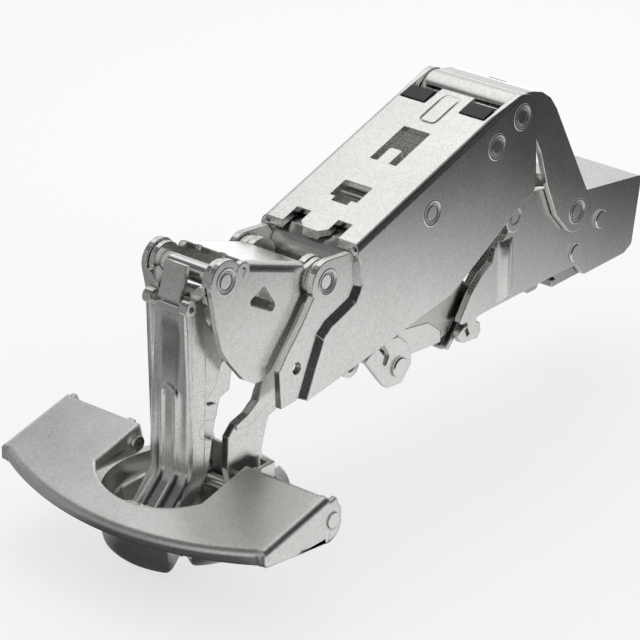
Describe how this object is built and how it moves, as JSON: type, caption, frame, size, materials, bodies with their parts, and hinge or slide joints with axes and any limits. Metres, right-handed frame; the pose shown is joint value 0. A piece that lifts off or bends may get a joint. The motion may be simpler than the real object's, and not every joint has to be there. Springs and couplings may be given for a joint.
{
  "type": "concealed cup hinge",
  "caption": "Wide-opening concealed cabinet hinge: round cup with a clamp flap, folding link arm, long main arm and clip-on base, shown with the door at a right angle.",
  "frame": {"origin": "centre of the arm's seat under the rear block", "axes": "+X along the pivot pins, +Y from the cup towards the rear block, +Z away from the cabinet side"},
  "size_m": [0.0666, 0.1545, 0.0691],
  "materials": {
    "nickel_sheet": "nickel-plated, fine satin",
    "dark_sheet": "nickel-plated, dull",
    "pin_steel": "plated, smooth",
    "spring_wire": "bright drawn wire",
    "black_plastic": "fine grained"
  },
  "bodies": {
    "base": {"hinge_body": "nickel_sheet", "inner_channel": "dark_sheet", "front_rail": "nickel_sheet", "front_bracket": "nickel_sheet", "bracket_rivets": "pin_steel", "block_rivets": "pin_steel", "hook_spring": "spring_wire", "lever_pin": "pin_steel", "rear_pins": "pin_steel", "front_link_pin": "pin_steel"},
    "catch": {"release_lever": "dark_sheet"},
    "adjuster": {"side_screw": "pin_steel"},
    "rear_link": {"rear_link": "nickel_sheet"},
    "front_link": {"front_link": "dark_sheet"},
    "main_arm": {"main_arm": "nickel_sheet", "arm_liner": "dark_sheet", "arm_pads": "black_plastic", "arm_rear_rivets": "pin_steel", "arm_front_pin": "pin_steel", "stop_pin": "pin_steel", "link_pin": "pin_steel"},
    "triangle": {"triangular_link": "nickel_sheet", "top_pin": "pin_steel"},
    "blade": {"blade_link": "nickel_sheet"},
    "lever": {"front_lever": "nickel_sheet", "tie_pin": "pin_steel"},
    "cup": {"cup": "nickel_sheet", "cup_insert": "dark_sheet", "lever_cup_pin": "pin_steel", "blade_cup_pin": "pin_steel", "clamp_wire": "spring_wire", "flap_pivots": "pin_steel"},
    "flap": {"flap": "nickel_sheet", "flap_studs": "pin_steel"}
  },
  "joints": [
    {"name": "door_swing", "type": "hinge", "parent": "base", "child": "rear_link", "pos_m": [0, -0.0095, 0.0165], "axis": [1, 0, 0], "range_deg": [-62.59, 45.2]},
    {"name": "front_link_turn", "type": "hinge", "parent": "base", "child": "front_link", "pos_m": [0, -0.0391, 0.004], "axis": [1, 0, 0], "range_deg": [-62.22, 44.94]},
    {"name": "arm_turn", "type": "hinge", "parent": "rear_link", "child": "main_arm", "pos_m": [0, -0.031, 0.044], "axis": [1, 0, 0], "range_deg": [-49.72, 68.82]},
    {"name": "triangle_turn", "type": "hinge", "parent": "main_arm", "child": "triangle", "pos_m": [0, -0.0889, 0.0285], "axis": [1, 0, 0], "range_deg": [-87.9, 63.49]},
    {"name": "blade_turn", "type": "hinge", "parent": "main_arm", "child": "blade", "pos_m": [0, -0.0889, 0.0285], "axis": [1, 0, 0], "range_deg": [-41.14, 29.72]},
    {"name": "lever_turn", "type": "hinge", "parent": "triangle", "child": "lever", "pos_m": [0, -0.1145, 0.0368], "axis": [1, 0, 0], "range_deg": [-29.75, 41.17]},
    {"name": "cup_turn", "type": "hinge", "parent": "lever", "child": "cup", "pos_m": [0, -0.129, -0.0092], "axis": [1, 0, 0], "range_deg": [-49.52, 35.77]},
    {"name": "flap_lift", "type": "hinge", "parent": "cup", "child": "flap", "pos_m": [0, -0.1136, -0.0038], "axis": [1, 0, 0], "range_deg": [-16, 0]},
    {"name": "catch_press", "type": "hinge", "parent": "base", "child": "catch", "pos_m": [0, 0.0005, 0.0111], "axis": [1, 0, 0], "range_deg": [0, 12], "stiffness_Nm_per_rad": 0.05},
    {"name": "screw_turn", "type": "hinge", "parent": "base", "child": "adjuster", "pos_m": [0, -0.0548, 0.0032], "axis": [0, 0, 1], "range_deg": [-180, 180]}
  ],
  "couplings": [
    {"joint": "front_link_turn", "follows": "door_swing", "ratio": 0.99324},
    {"joint": "arm_turn", "follows": "door_swing", "ratio": -1.0988},
    {"joint": "triangle_turn", "follows": "door_swing", "ratio": 1.4035},
    {"joint": "blade_turn", "follows": "door_swing", "ratio": 0.65646},
    {"joint": "lever_turn", "follows": "door_swing", "ratio": -0.65703},
    {"joint": "cup_turn", "follows": "door_swing", "ratio": 0.79034}
  ]
}
